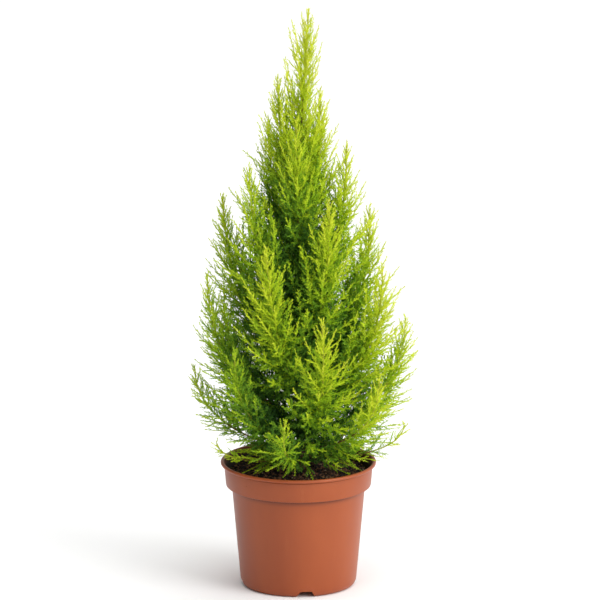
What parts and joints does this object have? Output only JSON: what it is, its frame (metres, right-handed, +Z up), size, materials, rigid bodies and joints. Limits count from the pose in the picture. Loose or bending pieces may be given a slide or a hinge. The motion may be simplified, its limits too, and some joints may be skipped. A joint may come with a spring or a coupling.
{
  "type": "potted lemon cypress",
  "caption": "Young lemon cypress with a narrow cone of feathery lime-green plumes, growing in a round plastic nursery pot filled with compost.",
  "frame": {"origin": "middle of the pot's flat underside, on the surface that the pot stands on", "axes": "+Z up along the pot's axis and the trunk, -Y towards the viewer of the picture, +X to the viewer's right"},
  "size_m": [0.1878, 0.1886, 0.4945],
  "materials": {
    "terracotta_plastic": "satin terracotta-coloured moulded plastic",
    "peat_compost": "crumbly dark peat with a few pale specks",
    "bark": "thin reddish-brown bark, rough at the foot",
    "lime_foliage": "fine lime-green needle foliage, yellow-green at the tips and deep green inside"
  },
  "bodies": {
    "root": {"pot": "terracotta_plastic", "compost": "peat_compost", "trunk": "bark", "bough_01": "bark", "bough_02": "bark", "bough_03": "bark", "bough_04": "bark", "bough_05": "bark", "bough_06": "bark", "bough_07": "bark", "bough_08": "bark", "bough_09": "bark", "bough_10": "bark", "bough_11": "bark", "bough_12": "bark", "bough_13": "bark", "bough_14": "bark", "bough_15": "bark", "bough_16": "bark", "bough_17": "bark", "bough_18": "bark", "bough_19": "bark", "bough_20": "bark", "bough_21": "bark", "bough_22": "bark", "bough_23": "bark", "bough_24": "bark", "bough_25": "bark", "bough_26": "bark", "bough_27": "bark", "bough_28": "bark", "plume_01": "lime_foliage", "plume_02": "lime_foliage", "plume_03": "lime_foliage", "plume_04": "lime_foliage", "plume_05": "lime_foliage", "plume_06": "lime_foliage", "plume_07": "lime_foliage", "plume_08": "lime_foliage", "plume_09": "lime_foliage", "plume_10": "lime_foliage", "plume_11": "lime_foliage", "plume_12": "lime_foliage", "plume_13": "lime_foliage", "plume_14": "lime_foliage", "plume_15": "lime_foliage", "plume_16": "lime_foliage", "plume_17": "lime_foliage", "plume_18": "lime_foliage", "plume_19": "lime_foliage", "plume_20": "lime_foliage", "plume_21": "lime_foliage", "plume_22": "lime_foliage", "plume_23": "lime_foliage", "plume_24": "lime_foliage", "plume_25": "lime_foliage", "plume_26": "lime_foliage", "plume_27": "lime_foliage", "plume_28": "lime_foliage", "leader": "lime_foliage"}
  },
  "joints": []
}
